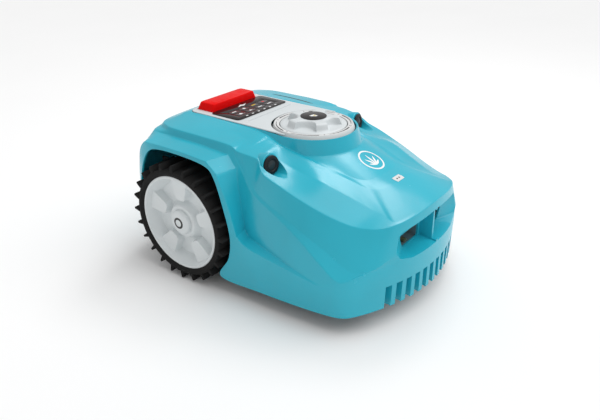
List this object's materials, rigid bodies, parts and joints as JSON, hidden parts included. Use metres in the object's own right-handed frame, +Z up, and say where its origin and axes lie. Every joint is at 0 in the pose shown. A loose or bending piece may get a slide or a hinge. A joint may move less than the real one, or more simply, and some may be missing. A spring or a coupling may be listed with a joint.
{
  "type": "robotic lawn mower",
  "caption": "Robotic lawn mower: moulded cover over two lugged drive wheels and front casters, height dial, keypad, stop bar and a pivoting-blade cutting disc.",
  "frame": {"origin": "on the ground under the middle of the bounding box", "axes": "+Z up, front (comb and charging sockets) towards -Y, +X to the machine's left side"},
  "size_m": [0.385, 0.512, 0.263],
  "materials": {
    "teal_plastic": "satin moulded",
    "light_grey_plastic": "fine matte",
    "keypad_film": "glossy film",
    "red_plastic": "satin",
    "black_plastic": "matte",
    "white_plastic": "matte",
    "dark_plastic": "textured",
    "rim_plastic": "satin",
    "tyre_rubber": "matte",
    "mount_rubber": "matte",
    "steel": "brushed",
    "motor_metal": "drawn can",
    "contact_metal": "plated",
    "circuit_board": "solder mask",
    "battery_wrap": "shrink film"
  },
  "bodies": {
    "machine": {"upper_cover": "teal_plastic", "top_panel": "light_grey_plastic", "keypad": "keypad_film", "dial_ring": "white_plastic", "label_plate": "white_plastic", "sensor_left": "dark_plastic", "sensor_right": "dark_plastic", "charging_socket_left": "dark_plastic", "charging_socket_right": "dark_plastic", "charging_contact_left": "contact_metal", "charging_contact_right": "contact_metal", "chassis": "dark_plastic", "battery_pack": "battery_wrap", "battery_cover": "dark_plastic", "board_frame": "dark_plastic", "main_board": "circuit_board", "guide_rod_left": "steel", "guide_rod_right": "steel", "wire_sensor_left": "contact_metal", "wire_sensor_right": "contact_metal", "cover_mount_1": "mount_rubber", "cover_mount_2": "mount_rubber", "gear_motor_left": "dark_plastic", "gear_motor_right": "dark_plastic"},
    "drive_wheel_left": {"drive_tyre_left": "tyre_rubber", "wheel_rim_left": "rim_plastic", "hub_cap_left": "rim_plastic", "drive_axle_left": "steel"},
    "caster_left": {"caster_fork_left": "dark_plastic", "caster_pin_left": "steel"},
    "caster_roller_left": {"caster_wheel_left": "dark_plastic"},
    "drive_wheel_right": {"drive_tyre_right": "tyre_rubber", "wheel_rim_right": "rim_plastic", "hub_cap_right": "rim_plastic", "drive_axle_right": "steel"},
    "caster_right": {"caster_fork_right": "dark_plastic", "caster_pin_right": "steel"},
    "caster_roller_right": {"caster_wheel_right": "dark_plastic"},
    "knob": {"height_knob": "light_grey_plastic", "knob_cap": "black_plastic", "lift_screw": "steel"},
    "carriage": {"motor_carriage": "dark_plastic", "cutting_motor": "motor_metal"},
    "cutter": {"motor_shaft": "steel", "blade_disc": "dark_plastic", "blade_screw_1": "steel", "blade_screw_2": "steel", "blade_screw_3": "steel"},
    "blade_body_1": {"blade_1": "steel"},
    "blade_body_2": {"blade_2": "steel"},
    "blade_body_3": {"blade_3": "steel"},
    "stop": {"stop_button": "red_plastic"},
    "button_1": {"key_1": "black_plastic"},
    "button_2": {"key_2": "black_plastic"},
    "button_3": {"key_3": "black_plastic"},
    "button_4": {"key_4": "black_plastic"},
    "button_5": {"key_5": "black_plastic"},
    "button_6": {"key_6": "black_plastic"},
    "button_7": {"key_7": "black_plastic"},
    "button_8": {"key_8": "black_plastic"}
  },
  "joints": [
    {"name": "drive_left", "type": "hinge", "parent": "machine", "child": "drive_wheel_left", "pos_m": [0.1635, 0.116, 0.1035], "axis": [1, 0, 0], "continuous": true},
    {"name": "caster_swivel_left", "type": "hinge", "parent": "machine", "child": "caster_left", "pos_m": [0.108, -0.15, 0.085], "axis": [0, 0, 1], "continuous": true},
    {"name": "caster_roll_left", "type": "hinge", "parent": "caster_left", "child": "caster_roller_left", "pos_m": [0.108, -0.134, 0.034], "axis": [1, 0, 0], "continuous": true},
    {"name": "drive_right", "type": "hinge", "parent": "machine", "child": "drive_wheel_right", "pos_m": [-0.1635, 0.116, 0.1035], "axis": [1, 0, 0], "continuous": true},
    {"name": "caster_swivel_right", "type": "hinge", "parent": "machine", "child": "caster_right", "pos_m": [-0.108, -0.15, 0.085], "axis": [0, 0, 1], "continuous": true},
    {"name": "caster_roll_right", "type": "hinge", "parent": "caster_right", "child": "caster_roller_right", "pos_m": [-0.108, -0.134, 0.034], "axis": [1, 0, 0], "continuous": true},
    {"name": "height_setting", "type": "hinge", "parent": "machine", "child": "knob", "pos_m": [0, -0.021, 0.2475], "axis": [0, 0, 1], "range_deg": [0, 300]},
    {"name": "cutting_height", "type": "slide", "parent": "machine", "child": "carriage", "axis": [0, 0, 1], "range_m": [0, 0.04]},
    {"name": "cutter_spin", "type": "hinge", "parent": "carriage", "child": "cutter", "pos_m": [0, -0.021, 0.0257], "axis": [0, 0, 1], "continuous": true},
    {"name": "blade_swing_1", "type": "hinge", "parent": "cutter", "child": "blade_body_1", "pos_m": [0, 0.037, 0.0206], "axis": [0, 0, 1], "continuous": true},
    {"name": "blade_swing_2", "type": "hinge", "parent": "cutter", "child": "blade_body_2", "pos_m": [-0.05023, -0.05, 0.0206], "axis": [0, 0, 1], "continuous": true},
    {"name": "blade_swing_3", "type": "hinge", "parent": "cutter", "child": "blade_body_3", "pos_m": [0.05023, -0.05, 0.0206], "axis": [0, 0, 1], "continuous": true},
    {"name": "stop_press", "type": "slide", "parent": "machine", "child": "stop", "axis": [0, 0, -1], "range_m": [0, 0.003], "stiffness_N_per_m": 900, "springref_m": -0.003},
    {"name": "key_press_1", "type": "slide", "parent": "machine", "child": "button_1", "axis": [0, 0, -1], "range_m": [0, 0.0006], "stiffness_N_per_m": 2500, "springref_m": -0.0006},
    {"name": "key_press_2", "type": "slide", "parent": "machine", "child": "button_2", "axis": [0, 0, -1], "range_m": [0, 0.0006], "stiffness_N_per_m": 2500, "springref_m": -0.0006},
    {"name": "key_press_3", "type": "slide", "parent": "machine", "child": "button_3", "axis": [0, 0, -1], "range_m": [0, 0.0006], "stiffness_N_per_m": 2500, "springref_m": -0.0006},
    {"name": "key_press_4", "type": "slide", "parent": "machine", "child": "button_4", "axis": [0, 0, -1], "range_m": [0, 0.0006], "stiffness_N_per_m": 2500, "springref_m": -0.0006},
    {"name": "key_press_5", "type": "slide", "parent": "machine", "child": "button_5", "axis": [0, 0, -1], "range_m": [0, 0.0006], "stiffness_N_per_m": 2500, "springref_m": -0.0006},
    {"name": "key_press_6", "type": "slide", "parent": "machine", "child": "button_6", "axis": [0, 0, -1], "range_m": [0, 0.0006], "stiffness_N_per_m": 2500, "springref_m": -0.0006},
    {"name": "key_press_7", "type": "slide", "parent": "machine", "child": "button_7", "axis": [0, 0, -1], "range_m": [0, 0.0006], "stiffness_N_per_m": 2500, "springref_m": -0.0006},
    {"name": "key_press_8", "type": "slide", "parent": "machine", "child": "button_8", "axis": [0, 0, -1], "range_m": [0, 0.0006], "stiffness_N_per_m": 2500, "springref_m": -0.0006}
  ],
  "couplings": [
    {"joint": "height_setting", "follows": "cutting_height", "rad_per_m": 130.89}
  ]
}
